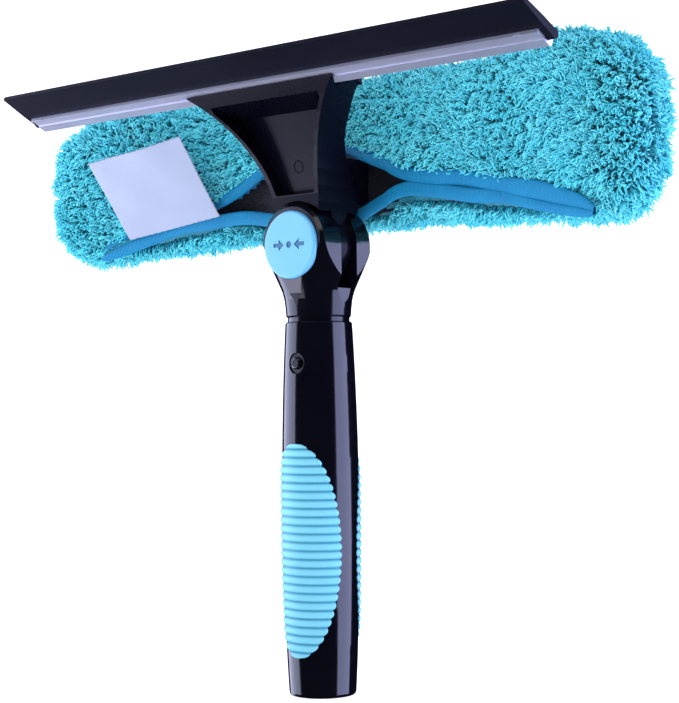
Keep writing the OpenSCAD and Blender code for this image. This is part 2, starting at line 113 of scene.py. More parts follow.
# %% A material under construction
class Finish:
    """A Principled material with helpers for object coordinates, noise, colour blends and relief."""

    def __init__(self, name, **constants):
        self.material = bpy.data.materials.new(name)
        self.material.use_nodes = True
        self.tree = self.material.node_tree
        self.shader = next(n for n in self.tree.nodes if n.type == "BSDF_PRINCIPLED")
        for key, value in constants.items():
            self.put(self.shader.inputs[key.replace("_", " ")], value)

    def put(self, socket, value):
        """Links a Signal to a socket, or sets a plain value on it."""
        if isinstance(value, Signal):
            self.tree.links.new(value.socket, socket)
        else:
            socket.default_value = value

    def node(self, kind, settings=None, inputs=(), output=0):
        """Adds a node, sets it up, feeds its sockets by place or by name, and returns one output."""
        made = self.tree.nodes.new(kind)
        for key, value in (settings or {}).items():
            setattr(made, key, value)
        for key, value in inputs.items() if isinstance(inputs, dict) else enumerate(inputs):
            self.put(made.inputs[key], value)
        return Signal(self, made.outputs[output])

    def place(self, stretch=(1, 1, 1), shift=(0, 0, 0)):
        """Object coordinates in metres, shifted and stretched."""
        where = self.node("ShaderNodeTexCoord", output="Object")
        return self.node("ShaderNodeMapping", None, {"Vector": where, "Location": shift, "Scale": stretch})

    def axes(self, where):
        """The three parts of a vector."""
        made = self.node("ShaderNodeSeparateXYZ", None, (where,))
        return [Signal(self, o) for o in made.socket.node.outputs]

    def noise(self, scale, detail=2.0, where=None):
        """Cloudy noise of scale features per metre."""
        return self.node("ShaderNodeTexNoise", None, {"Vector": where or self.place(), "Scale": scale,
                                                      "Detail": detail})

    def colours(self, mask, low, high):
        """A colour that goes from low to high with the mask."""
        return self.node("ShaderNodeMix", {"data_type": "RGBA"}, {0: mask, 6: low, 7: high}, 2)

    def base(self, colour):
        self.put(self.shader.inputs["Base Color"], colour)
        return self

    def rough(self, value):
        self.put(self.shader.inputs["Roughness"], value)
        return self

    def relief(self, height, depth):
        """Bump from a height of 0 to 1 that stands for depth metres."""
        bump = self.node("ShaderNodeBump", None, {"Height": height, "Distance": depth, "Strength": 1.0})
        self.put(self.shader.inputs["Normal"], bump)
        return self

    def dress(self, *names):
        """Puts the finish on CAD nodes by name."""
        for name in names:
            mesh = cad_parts[name].data
            for i in range(len(mesh.materials)):
                mesh.materials[i] = self.material
            if not mesh.materials:
                mesh.materials.append(self.material)
        return self


def rgb(r, g, b):
    """A colour as shader sockets take it, from screen values of 0 to 255."""
    return (*[((v / 255 + 0.055) / 1.055) ** 2.4 if v > 10 else v / 255 / 12.92 for v in (r, g, b)], 1.0)


# %% [markdown]
# The black parts are injection moulded and very glossy. A polished mould still leaves a faint ripple,
# and handling leaves fine hairlines, so roughness and bump change a little over the surface. The head
# also has a round gate mark in its hollow, drawn as a small ring of relief.

# %% Glossy black plastic
def gloss_black(name, tone, rough_low, rough_high, level):
    """Moulded black: slow clouds move the roughness, a fine ripple bends the reflections."""
    made = Finish(name, Specular_IOR_Level=level)
    clouds = made.noise(30, 2.0)
    specks = made.noise(700, 2.0, made.place(stretch=(1, 1, 0.15)))  # drawn out up the tool
    made.base(made.colours(clouds, rgb(*tone), rgb(*[v + 5 for v in tone])))
    made.rough(clouds * (rough_high - rough_low) + rough_low + specks * 0.04)
    return made, clouds, specks


handle_black, clouds, specks = gloss_black("handle_gloss_black", (4, 4, 11), 0.07, 0.13, 0.5)
handle_black.relief(clouds * 0.9 + specks * 0.02, 0.00012).dress("handle_shell", "snap_button")
fork_black, clouds, specks = gloss_black("fork_gloss_black", (4, 4, 11), 0.09, 0.15, 0.42)
fork_black.relief(clouds * 0.9 + specks * 0.03, 0.00012).dress("yoke", "pivot_cap")

head_black, clouds, specks = gloss_black("head_satin_black", (6, 5, 17), 0.2, 0.3, 0.12)
GATE_HEIGHT, PIVOT_HEIGHT = 0.2335, 0.1986
x, y, z = head_black.axes(head_black.place(shift=(0, 0, -GATE_HEIGHT)))
gate = (x * x + z * z).math("SQRT")
ring = gate.between(0.0021, 0.0024) * (1 - gate.between(0.0026, 0.0029))
head_black.relief(clouds * 0.5 + specks * 0.05 - ring * 0.8, 0.0002).dress("head_body", "jaw_plate")
print("black plastics:", handle_black.material.name, fork_black.material.name, head_black.material.name)

# %% [markdown]
# The push button is a bright moulded cap. Its press mark is sunk 0.4 mm into the face, so a mask on
# depth finds the floor of the mark and paints it in a deeper shade.

# %% Push button, bush and gear
button_aqua = Finish("button_aqua", Coat_Weight=0.3, Coat_Roughness=0.15)
x, y, z = button_aqua.axes(button_aqua.place(shift=(0, 0, -PIVOT_HEIGHT)))
sunk = y.between(-0.01935, -0.01925) * (1 - (x * x + z * z).math("SQRT").between(0.0100, 0.0102))
tint = button_aqua.colours(button_aqua.noise(60), rgb(90, 164, 208), rgb(100, 174, 218))
button_aqua.base(button_aqua.colours(sunk, tint, rgb(20, 96, 128)))
button_aqua.rough(button_aqua.noise(120) * 0.12 + 0.28)
button_aqua.relief(button_aqua.noise(1500), 0.00003).dress("push_button")

bush_grey = Finish("bush_matt_grey")
bush_grey.base(bush_grey.colours(bush_grey.noise(90), rgb(34, 34, 38), rgb(48, 48, 54)))
bush_grey.rough(bush_grey.noise(300) * 0.2 + 0.5).relief(bush_grey.noise(2500), 0.00005)
bush_grey.dress("pole_socket_bush")

gear_white = Finish("gear_acetal")
gear_white.base(gear_white.colours(gear_white.noise(150), rgb(214, 212, 202), rgb(232, 231, 224)))
gear_white.rough(gear_white.noise(400) * 0.15 + 0.35).relief(gear_white.noise(1800), 0.00003)
gear_white.dress("lock_gear")
print("button, bush and gear dressed")

# %% [markdown]
# The metals are zinc-plated screws, spring wire, and the aluminium channel. The channel is extruded, so its
# surface carries fine lines along the blade. Noise that is stretched along X gives those lines, and
# both the roughness and the relief read it.

# %% Metals
def plated(name, tone, nodes, rough=0.3):
    """Plated steel: blotchy brightness and a fine grain."""
    made = Finish(name, Metallic=1.0)
    made.base(made.colours(made.noise(500, 3.0), rgb(*tone), rgb(*[min(255, v + 22) for v in tone])))
    made.rough(made.noise(1200) * 0.25 + rough).relief(made.noise(3000), 0.00002)
    return made.dress(*nodes)


plated("zinc_steel", (176, 178, 184), ["pivot_bolt", "pivot_nut", "jaw_screws", "bar_screws"])
plated("spring_wire", (160, 162, 168), ["snap_spring", "button_spring"], 0.24)

channel_metal = Finish("channel_aluminium", Metallic=0.8)
lines = channel_metal.noise(2600, 3.0, channel_metal.place(stretch=(0.012, 1, 1)))
haze = channel_metal.noise(26, 3.0)
channel_metal.base(channel_metal.colours(haze * 0.5 + lines * 0.5, rgb(196, 198, 220), rgb(228, 229, 242)))
channel_metal.rough(lines * 0.18 + haze * 0.08 + 0.32).relief(lines, 0.00006).dress("blade_channel")
print("metals dressed")

# %% [markdown]
# The blade rubber is smooth and dark with a blue cast. It isn't a mirror: a bloom of fine dust makes it
# satin. The scrubber's bar has a spark-eroded grain.

# %% Rubber and the bar
blade_rubber = Finish("blade_rubber", Specular_IOR_Level=0.12)
bloom = blade_rubber.noise(55, 4.0, blade_rubber.place(stretch=(0.3, 1, 1)))
grain = blade_rubber.noise(2200, 2.0)
blade_rubber.base(blade_rubber.colours(bloom, rgb(9, 10, 21), rgb(16, 18, 34)))
blade_rubber.rough(bloom * 0.18 + 0.42).relief(grain * 0.6 + bloom * 0.4, 0.00005).dress("rubber_blade")

bar_black = Finish("bar_grained_black")
pits = bar_black.node("ShaderNodeTexVoronoi", None, {"Vector": bar_black.place(), "Scale": 1100.0})
bar_black.base(bar_black.colours(pits, rgb(12, 12, 17), rgb(40, 40, 48)))
bar_black.rough(bar_black.noise(700) * 0.2 + 0.42).relief(pits, 0.00018).dress("scrubber_bar")
print("rubber and bar dressed")

# %% [markdown]
# New pieces are surfaces worked out with numpy. A surface is a grid of points, one row after another,
# and one helper turns a grid into a mesh: each small square of the grid is a face.

# %% From a grid of points to a mesh
def mesh_piece(name, points, quads, finish, body):
    """Makes an object at the origin from points in millimetres and an array of faces."""
    mesh = bpy.data.meshes.new(name)
    mesh.from_pydata((points * MM).tolist(), [], quads.tolist())
    mesh.shade_smooth()
    mesh.materials.append(finish.material)
    made = bpy.data.objects.new(name, mesh)
    bpy.context.collection.objects.link(made)
    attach(made, body)
    return made


def grid_quads(rows, columns, wrap=False):
    """Faces of a grid, as point numbers; wrap joins the last column to the first."""
    r, c = np.meshgrid(np.arange(rows - 1), np.arange(columns if wrap else columns - 1), indexing="ij")
    n = (c + 1) % columns
    return np.stack([r * columns + c, r * columns + n, (r + 1) * columns + n, (r + 1) * columns + c],
                    -1).reshape(-1, 4)


def wall(made, thickness, offset):
    """Gives a surface a thickness in millimetres: offset -1 puts it all inside, 0 half on each side."""
    modifier = made.modifiers.new("wall", "SOLIDIFY")
    modifier.thickness, modifier.offset = thickness * MM, offset


def uv_from(made, u, v):
    """Writes two numbers per point into the piece's UV map, so that a pattern follows the surface."""
    layer = made.data.uv_layers.new(name="along")
    corner = np.zeros(len(made.data.loops), np.int32)
    made.data.loops.foreach_get("vertex_index", corner)
    layer.data.foreach_set("uv", np.stack([u[corner], v[corner]], -1).astype(np.float32).ravel())


print("helpers ready")

# %% [markdown]
# The grips are soft rubber inlays. Each rib is a rounded bead that runs round the handle, and its ends
# spread a little over the black border, which makes the scalloped outline. The height is a formula of
# the angle and the height up the handle: the handle's own arc, plus a rounded rib, times an edge fade.

# %% Ribbed grips
GRIP_MID, GRIP_HALF, GRIP_ANGLE, GRIP_R = 64.4, 46.75, math.radians(69), 16
RIB_PITCH, RIB_HIGH, RIB_BASE, EDGE_ROUND = 3.7, 0.85, 0.55, 1.5
END_R, HANDLE_MID, BULGE = 14.9, 82.5, 2.25
ARC_R = (HANDLE_MID ** 2 + BULGE ** 2) / (2 * BULGE)


def handle_radius(z):
    """The handle's arc: thickest at its middle, 82.5 mm up."""
    return END_R + BULGE - (z - HANDLE_MID) ** 2 / (2 * ARC_R)


def grip_surface(side, rows=420, columns=72):
    """Rows go up the oval, columns across it; side is 1 in front, -1 behind."""
    v = np.sin(np.linspace(-1, 1, rows) * math.pi / 2)[:, None] * 0.9995
    across = np.linspace(-1, 1, columns)[None, :]
    z = GRIP_MID + GRIP_HALF * v + 0 * across
    rib = np.abs(np.sin(np.pi * (z - GRIP_MID) / RIB_PITCH)) ** 0.85
    half = GRIP_ANGLE * np.sqrt(1 - v * v) + (0.15 + rib) / GRIP_R
    angle = half * np.sin(across * math.pi / 2)
    edge = (half - np.abs(angle)) * GRIP_R
    fade = np.sqrt(1 - (1 - np.clip(edge / EDGE_ROUND, 0, 1)) ** 2)
    r = handle_radius(z) - 0.45 + fade * (RIB_BASE + RIB_HIGH * rib)
    points = np.stack([r * np.sin(angle) * side, -side * r * np.cos(angle), z], -1)
    return points.reshape(-1, 3), rows, columns


grip_aqua = Finish("grip_aqua", Specular_IOR_Level=0.4)
x, y, z = grip_aqua.axes(grip_aqua.place())
# Painted shade: the colour is darker in the valleys between the ribs and lighter on their crests.
valley_shade_mask = (((z - GRIP_MID * MM) * (math.pi / (RIB_PITCH * MM))).math("SINE")).math("ABSOLUTE")
soft = grip_aqua.noise(45, 3.0)
grip_aqua.base(grip_aqua.colours(valley_shade_mask.between(0.12, 0.75), rgb(44, 134, 158),
                                 grip_aqua.colours(soft, rgb(102, 182, 196), rgb(116, 191, 205))))
grip_aqua.rough(soft * 0.12 + 0.42).relief(grip_aqua.noise(2600, 2.0), 0.00004)

for grip_name, side in (("grip_front", 1), ("grip_rear", -1)):
    grip_points, rows, columns = grip_surface(side)
    grip = mesh_piece(grip_name, grip_points, grid_quads(rows, columns), grip_aqua, "handle")
    wall(grip, 1.1, -1.0)
    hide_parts("grip_inlay_front" if side == 1 else "grip_inlay_rear")
print("grips:", 2 * rows * columns, "points")

# %% [markdown]
# The scrubber is a plush sleeve pulled over a bent bar. All of its pieces share one formula: a round
# rectangle, in the polar form of a superellipse, carried round the bend. It gets thinner and lower at
# both ends, as a pillow does. Insets give the backing cloth under the pile and the lining under that.
# In front, the cloth ends in an upper and a lower flap, and their edges are two smooth curves.

# %% The sleeve's own surface
BEND_FRONT, MID_R, HALF_ARC = 439.0, 473.4, 178.3
INNER_R, OUTER_R = 454.8, 492
LOW_MID, LOW_DROP, HIGH_MID, HIGH_DROP = 208, 13, 278.5, 6
END_ROUND, CORNER_ROUND, SQUIRCLE = 18.6, 32, 2.8
SLEEVE_HALF, DROP_STOPS = 174, 152


def smooth_curve(knots, spread=6.0):
    """Straight lines through the knots, averaged over a few millimetres, as a function of x."""
    fine = np.arange(-170, 171, 1.0)
    weight = np.exp(-0.5 * (np.arange(-20, 21) / spread) ** 2)
    x, z = np.array(knots, float).T
    padded = np.interp(np.arange(-190, 191, 1.0), x, z)
    soft = np.convolve(padded, weight / weight.sum(), "valid")
    return lambda at: np.interp(at, fine, soft)


upper_edge = smooth_curve([
    (-190, 190), (-150, 203), (-136, 207.5), (-119, 213.5), (-75, 221.5), (-61, 226), (-51, 232), (-43, 238),
    (-25, 244), (-8, 245), (4, 242), (14, 237), (32, 230), (45, 227), (61, 223.6), (91, 216.6),
    (114, 211.6), (135, 205.6), (150, 200.8), (190, 193)])
lower_edge = smooth_curve([
    (-190, 181), (-150, 196), (-136, 203), (-115, 212), (-96, 217), (-75, 220), (-60, 220.5), (-43, 218),
    (-20, 215), (4, 213.5), (14, 217), (24, 221.5), (37, 224), (55, 222.5), (75, 219.3), (91, 216.1),
    (120, 209.9), (143, 203.2), (190, 193)])


def quarter_round(distance, r):
    """0 at an end, 1 from distance r on, along a quarter circle."""
    return np.sqrt(np.clip(1 - (1 - np.clip(distance / r, 0, 1)) ** 2, 0, 1))


def end_of_cloth(s):
    """How far the cloth reaches along the bend: a little further on the label's side."""
    return HALF_ARC + np.where(s < 0, 2.5, -0.5)


def sleeve_skin(s, turn, front_in=0.0, back_in=0.0, edge_in=0.0):
    """s is millimetres along the bend, turn goes once round the section: 0 behind, 0.25 top, 0.5 front."""
    x = MID_R * np.sin(s / MID_R)
    fall = (np.minimum(np.abs(x), DROP_STOPS) / SLEEVE_HALF) ** 2
    hump = 5 * np.exp(-((x - 126) / 26) ** 2) + 2.5 * np.exp(-((x + 136) / 24) ** 2)
    low, high = LOW_MID - LOW_DROP * fall + edge_in, HIGH_MID - HIGH_DROP * fall + hump - edge_in
    inside = end_of_cloth(s) - edge_in - np.abs(s)
    plump = quarter_round(inside, END_ROUND)
    half_h = (high - low) / 2 - np.where(s < 0, 18, 22) * (1 - quarter_round(inside, CORNER_ROUND))
    angle = 2 * np.pi * turn
    c, d = np.cos(angle), np.sin(angle)
    squircle = (np.abs(c) ** SQUIRCLE + np.abs(d) ** SQUIRCLE) ** (-1 / SQUIRCLE)
    lumps = 0.9 * np.sin(s / 13.0 + 3 * angle) + 0.7 * np.sin(s / 7.3 - 2 * angle + 1)
    inner, outer = INNER_R + front_in, OUTER_R - back_in
    half_t = (outer - inner) / 2 + lumps * np.where(c > 0.2, 1, 0.35)
    radius = (inner + outer) / 2 + plump * half_t * c * squircle
    z = (low + high) / 2 + (half_h + lumps * 0.8) * d * squircle
    return np.stack([radius * np.sin(s / MID_R), radius * np.cos(s / MID_R) - BEND_FRONT, z], -1)


def in_the_seam(points, below, above, left_above):
    """True in front between the flaps, with a margin below, above, and above at the label's side."""
    x, y, z = points[..., 0], points[..., 1], points[..., 2]
    reach = np.hypot(x, y + BEND_FRONT)
    over = np.where(x < -72, left_above, above)
    return (z > lower_edge(x) - below) & (z < upper_edge(x) + over) & (reach < 466) & (np.abs(x) < 150)


print("sleeve section at the middle:", sleeve_skin(np.zeros(4), np.arange(4) / 4).round(1).tolist())

# %% [markdown]
# The backing is a knitted cloth tube. Only glimpses of it show between the tufts, so it gets a slightly
# deeper shade of the pile's colour and a knit relief from two crossed waves. It's open along the slit, where
# the bar looks out. The blue lining is the same tube, a little further in.

# %% Backing and lining
SLIT_MID, SLIT_HALF = -20, 60
ROUND_SECTION = 208  # millimetres once round the sleeve, for the weave's pattern


def cloth_tube(name, finish, insets, margin, rows=240, columns=96):
    """The sleeve's surface with insets, without the faces that lie in the slit."""
    s = np.sin(np.linspace(-1, 1, rows) * math.pi / 2)
    s = s * (end_of_cloth(s) - insets[2])
    grid = sleeve_skin(s[:, None], (np.arange(columns) / columns)[None, :], *insets)
    quads = grid_quads(rows, columns, wrap=True)
    points = grid.reshape(-1, 3)
    middle = points[quads].mean(1)
    open_slit = in_the_seam(middle, margin, margin, margin) & (np.abs(middle[:, 0] - SLIT_MID) < SLIT_HALF)
    made = mesh_piece(name, points, quads[~open_slit][:, ::-1], finish, "head")
    turns = np.tile(np.arange(columns) / columns * ROUND_SECTION, rows)
    uv_from(made, np.repeat(s, columns), turns)
    wall(made, 0.7, -1.0)
    return made


def woven(name, low, high, pitch, depth):
    """Cloth: threads cross at a pitch in millimetres, and slow clouds fade the yarn's colour."""
    made = Finish(name, Sheen_Weight=0.25, Sheen_Roughness=0.5)
    u, v, _ = made.axes(made.node("ShaderNodeUVMap", {"uv_map": "along"}))
    weft = (u * (2 * math.pi / pitch)).math("SINE")
    warp = (v * (2 * math.pi / pitch)).math("SINE")
    threads = (weft * warp) * 0.5 + 0.5
    made.base(made.colours(threads * 0.6 + made.noise(60, 3.0) * 0.4, rgb(*low), rgb(*high)))
    made.rough(threads * 0.1 + 0.75).relief(threads, depth)
    return made


backing_teal = woven("backing_knit", (20, 128, 148), (34, 158, 176), 1.6, 0.0003)
lining_blue = woven("lining_weave", (14, 84, 140), (34, 130, 190), 0.9, 0.0001)
backing = cloth_tube("sleeve_backing", backing_teal, (4.6, 9.0, 6.5), 3.0)
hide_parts("sleeve")
lining = cloth_tube("sleeve_lining_cloth", lining_blue, (6.6, 16.5, 8.5), 3.0)
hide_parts("sleeve_lining")
print("backing and lining:", len(backing.data.polygons), len(lining.data.polygons), "faces")

# %% [markdown]
# The pile is thousands of soft twisted strands. Real hair curves wouldn't be exported, so each strand
# is a thin three-sided tube of five short lengths. Strands start evenly over the backing: seeds lie
# closer together towards both ends, and a seed is kept more often where its patch of cloth is larger.
# Groups of neighbours share a lean and pull their tips together, and that makes the tufts and the gaps.

# %% Where the strands start
rng = np.random.default_rng(11)
INSETS = (4.4, 8.8, 6.3)


def spread(count):
    """Even pairs of numbers from 0 to 1, from the plastic number's two fractions."""
    i = np.arange(count)[:, None]
    return np.mod(0.5 + i * np.array([[0.7548776662466927, 0.5698402909980532]]), 1)


def skin_and_normal(s, turn):
    """Points on the backing with unit vectors out of it, along the bend and round the section."""
    ds, dturn = 0.3, 0.002
    along = sleeve_skin(s + ds, turn, *INSETS) - sleeve_skin(s - ds, turn, *INSETS)
    around = sleeve_skin(s, turn + dturn, *INSETS) - sleeve_skin(s, turn - dturn, *INSETS)
    normal = np.cross(around, along)
    size = np.linalg.norm(normal, axis=-1, keepdims=True)
    along, around = (v / np.linalg.norm(v, axis=-1, keepdims=True) for v in (along, around))
    return sleeve_skin(s, turn, *INSETS), normal / size, along, around, size[:, 0]


seeds = spread(110000)
to_end = 1 - np.abs(seeds[:, 0] * 2 - 1)
seed_s = np.sign(seeds[:, 0] - 0.5) * (1 - to_end ** 2)
seed_s = seed_s * (end_of_cloth(seed_s) - INSETS[2])
seed_turn = seeds[:, 1]
root, normal, along, around, area = skin_and_normal(seed_s, seed_turn)
area = area * to_end
keep = (rng.random(len(area)) < area / np.percentile(area, 92)) & ~in_the_seam(root, 5.4, 5.4, 2.6)
root, normal, along, around = root[keep], normal[keep], along[keep], around[keep]
seed_s, seed_turn = seed_s[keep], seed_turn[keep]
bar_middle = root * (0.96, 0, 0) + (0, 30, 238)
facing = np.sum(normal * (root - bar_middle), -1)
normal *= np.where(np.median(facing) < 0, -1, 1)
print("strands:", len(root), "pointing outwards:", bool(np.median(facing) > 0))

# %% [markdown]
# A strand's middle line starts along the normal and bends over towards its lean. Its tip is drawn
# towards the middle of its group's cell, 4 mm wide, and a helix of under a millimetre adds the twist.

# %% Middle lines of the strands
STEPS, GROUP = 5, 4.0
SWIRL, GROUP_LEAN, OWN_LEAN, SAG = 0.45, 1.1, 0.26, 0.3
SHORT, EXTRA_BEHIND, CURL, PULL = 6.3, 3.0, 0.75, 0.42


def group_noise(cell, salt):
    """A repeatable number from 0 to 1 for each pair of whole numbers."""
    mixed = np.sin(cell[:, 0] * 12.9898 + cell[:, 1] * 78.233 + salt * 37.719) * 43758.5453
    return mixed - np.floor(mixed)


def strand_lines(root, normal, along, around, s, turn):
    """(strand, step, 3) points in millimetres and each group's own number."""
    flat = np.stack([s, turn * 196], -1) + 1.5 * np.sin(np.stack([turn * 60, s / 9], -1))
    cell = np.floor(flat / GROUP)
    pick = [group_noise(cell, k) for k in range(6)]
    centre = (cell + 0.5 + 0.6 * (np.stack(pick[:2], -1) - 0.5)) * GROUP
    drift = (centre - flat).clip(-3, 3)
    sweep_a = np.sin(s / 11 + 2 * np.sin(turn * 9)) * SWIRL + (pick[2] - 0.5) * GROUP_LEAN
    sweep_b = np.cos(s / 14 - turn * 17) * SWIRL + (pick[3] - 0.5) * GROUP_LEAN
    sweep_a = sweep_a * np.clip((HALF_ARC - 8 - np.abs(s)) / 24, 0, 1)
    own = rng.normal(0, OWN_LEAN, (len(s), 2))
    lean = along * (sweep_a + own[:, 0])[:, None] + around * (sweep_b + own[:, 1])[:, None]
    lean = lean + np.array([0, 0, -SAG])
    behind = np.clip(normal[:, 1] * 1.2, 0, 1)
    length = (SHORT + EXTRA_BEHIND * behind) * (0.82 + 0.36 * pick[4]) * rng.uniform(0.8, 1.12, len(s))
    end = normal * 0.62 + lean * 0.75
    end /= np.linalg.norm(end, axis=-1, keepdims=True)
    t = np.linspace(0, 1, STEPS + 1)[None, :, None]
    bent = normal[:, None] * (t - t * t / 2) + end[:, None] * t * t / 2
    line = root[:, None] + length[:, None, None] * bent
    line = line + (along * drift[:, :1] + around * drift[:, 1:])[:, None] * PULL * t * t
    phase, twist = rng.uniform(0, 2 * math.pi, (2, len(s), 1, 1))
    side_a = np.cross(end, normal + 0.01)
    side_a /= np.linalg.norm(side_a, axis=-1, keepdims=True)
    side_b = np.cross(end, side_a)
    spin = phase + t * (5.5 + twist * 0.5)
    curl = CURL * np.sin(t * math.pi / 2)
    return line + curl * (np.cos(spin) * side_a[:, None] + np.sin(spin) * side_b[:, None]), pick[5]


line, group = strand_lines(root, normal, along, around, seed_s, seed_turn)
print("middle lines:", line.shape, "group numbers:", group[:3].round(2).tolist())

# %% [markdown]
# Three points round every step of the line make the tube: the width swells a little and then tapers to
# the tip. Each point also carries two numbers for the material, how far along its strand it is and how
# light its strand and group are, so that roots can be dark and tips light: painted shade deep in the
# pile and painted light at the tips.

# %% Tubes from the middle lines
WIDTH = np.array([0.40, 0.50, 0.54, 0.52, 0.48, 0.30])


def pile_piece(name, chosen, finish):
    """One mesh of all chosen strands, with foreach_set, because lists would be slow."""
    spine = line[chosen]
    count = len(spine)
    heading = np.gradient(spine, axis=1)
    heading /= np.linalg.norm(heading, axis=-1, keepdims=True)
    first = np.cross(heading, along[chosen][:, None] + 0.2 * normal[chosen][:, None])
    first /= np.linalg.norm(first, axis=-1, keepdims=True)
    second = np.cross(heading, first)
    turn = np.arange(3) * 2 * math.pi / 3
    fat = (WIDTH[None, :, None] * rng.uniform(0.8, 1.2, (count, 1, 1)))[..., None]
    sideways = np.cos(turn)[:, None] * first[:, :, None] + np.sin(turn)[:, None] * second[:, :, None]
    ring = spine[:, :, None] + fat * sideways
    step, corner = np.meshgrid(np.arange(STEPS), np.arange(3), indexing="ij")
    following = (corner + 1) % 3
    one = step[..., None] * 3 + np.stack([corner, following, 3 + following, 3 + corner], -1)
    quads = (one.reshape(1, -1, 4) + (np.arange(count) * 3 * (STEPS + 1))[:, None, None]).reshape(-1, 4)
    caps = (np.array([[0, 2, 1], [3 * STEPS, 3 * STEPS + 1, 3 * STEPS + 2]])[None]
            + (np.arange(count) * 3 * (STEPS + 1))[:, None, None]).reshape(-1, 3)
    mesh = bpy.data.meshes.new(name)
    mesh.vertices.add(ring.size // 3)
    mesh.vertices.foreach_set("co", (ring * MM).astype(np.float32).ravel())
    mesh.loops.add(quads.size + caps.size)
    mesh.loops.foreach_set("vertex_index", np.concatenate([quads.ravel(), caps.ravel()]).astype(np.int32))
    mesh.polygons.add(len(quads) + len(caps))
    starts = np.concatenate([np.arange(len(quads)) * 4, quads.size + np.arange(len(caps)) * 3])
    mesh.polygons.foreach_set("loop_start", starts.astype(np.int32))
    mesh.update(calc_edges=True)
    mesh.shade_smooth()
    tone = np.clip(0.5 * group[chosen] + 0.5 * rng.random(count), 0, 1)
    paint = np.zeros((count, STEPS + 1, 3, 4), np.float32)
    paint[..., 0] = np.linspace(0, 1, STEPS + 1)[None, :, None]
    paint[..., 1] = tone[:, None, None]
    paint[..., 3] = 1
    mesh.attributes.new("strand", "FLOAT_COLOR", "POINT").data.foreach_set("color", paint.ravel())
    mesh.materials.append(finish.material)
    made = bpy.data.objects.new(name, mesh)
    bpy.context.collection.objects.link(made)
    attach(made, "head")
    return made


pile_teal = Finish("pile_strands", Sheen_Weight=0.15, Sheen_Roughness=0.4, Specular_IOR_Level=0.25)
share = pile_teal.node("ShaderNodeAttribute", {"attribute_name": "strand"}, output="Color")
reach, lightness, _ = pile_teal.axes(share)
swell = pile_teal.noise(55, 2.0)
# Painted shade and light: along every strand the roots are darker and the tips lighter, for the shade deep
# in the pile.
shade = pile_teal.colours(reach.between(0.0, 0.75), rgb(24, 146, 168), rgb(58, 200, 216))
bright = pile_teal.colours(reach.between(0.1, 1.0), rgb(42, 170, 188), rgb(120, 230, 238))
pile_teal.base(pile_teal.colours((lightness * 0.5 + swell * 0.9 - 0.22).between(0.0, 1.0), shade, bright))
pile_teal.rough(swell * 0.15 + 0.5)
pile_teal.relief(pile_teal.noise(2400, 1.0), 0.0001)

quarter = np.digitize(seed_s, [-106, -38, 38, 106])
in_front = np.abs(np.mod(seed_turn, 1) - 0.5) < 0.25
for part, part_name in enumerate(("left_end", "left", "middle", "right", "right_end")):
    for front, side_name in ((True, "front"), (False, "back")):
        chosen = np.flatnonzero((quarter == part) & (in_front == front))
        pile_piece(f"pile_{part_name}_{side_name}", chosen, pile_teal)

# %% [markdown]
# Both flaps are bound with ribbed tape that is folded over the cut edge, which makes a soft round bead.
# The tape is an oval carried along the flap's edge. Its ribs run across it, so the pattern reads the
# tape's own length from the UV map, in millimetres.

# %% Binding tapes
TAPE_R, TAPE_TALL, TAPE_DEEP = 455.9, 3.3, 1.7
TAPE_STARTS, TAPE_STOPS = -137.5, 149.5
RIB_STEP = 0.78


def tape_surface(side, rows=420, columns=20):
    """An oval of 6.6 by 3.4 mm along the flap's edge. It waves a little and narrows at both ends.

    Right of the neck both tapes run along one line, halfway between the flaps' edges.
    """
    x = np.linspace(TAPE_STARTS, TAPE_STOPS, rows)[:, None]
    angle = np.linspace(0, 2 * np.pi, columns, endpoint=False)[None, :]
    wave = 0.4 * np.sin(x / 11 + side) + 0.3 * np.sin(x / 6.1 + 2 * side)
    edge_fade = np.clip(1 - (np.abs(x) / np.where(x < 0, 139, 151)) ** 14, 0.02, 1)
    tall = TAPE_TALL + (0.8 * side) * np.clip((x - 70) / 50, 0, 1)
    met = 0.5 * np.clip((x - 26) / 16, 0, 1)
    own, other = (upper_edge(x), lower_edge(x)) if side > 0 else (lower_edge(x), upper_edge(x))
    middle = own * (1 - met) + other * met + side * (tall * edge_fade - 0.3)
    middle = middle + wave * np.clip(np.abs(x) / 70, 0.25, 1)
    slim = np.sqrt(edge_fade)
    sunk = np.clip((-x - 66) / 14, 0, 1) * 2.6 if side > 0 else 0
    r = TAPE_R + sunk + 0.4 * np.sin(x / 9 - side) - slim * TAPE_DEEP * np.sin(angle)
    z = middle + slim * tall * np.cos(angle) * side
    turn = np.arcsin(x / TAPE_R)
    points = np.stack([r * np.sin(turn), r * np.cos(turn) - BEND_FRONT, z + 0 * r], -1)
    length = np.concatenate([[0], np.cumsum(np.hypot(np.diff(x[:, 0]), np.diff(middle[:, 0])))])
    across = np.tile(angle[0] * 2.4, rows)
    return points.reshape(-1, 3), np.repeat(length, columns), across, rows, columns


tape_blue = Finish("binding_ribbed_tape", Specular_IOR_Level=0.25)
u, v, _ = tape_blue.axes(tape_blue.node("ShaderNodeUVMap", {"uv_map": "along"}))
ribs = ((u + v * 0.16) * (2 * math.pi / RIB_STEP)).math("SINE") * 0.5 + 0.5
# Painted light: across the ribs the colour is darker in the grooves as painted shade and lighter on the
# crests as a painted highlight; the noise part is uneven dye.
rib_shade_and_dye = ribs * 0.65 + tape_blue.noise(70, 3.0) * 0.35
tape_blue.base(tape_blue.colours(rib_shade_and_dye, rgb(4, 96, 146), rgb(10, 150, 192)))
tape_blue.rough(ribs * 0.12 + 0.5).relief(ribs, 0.00022)

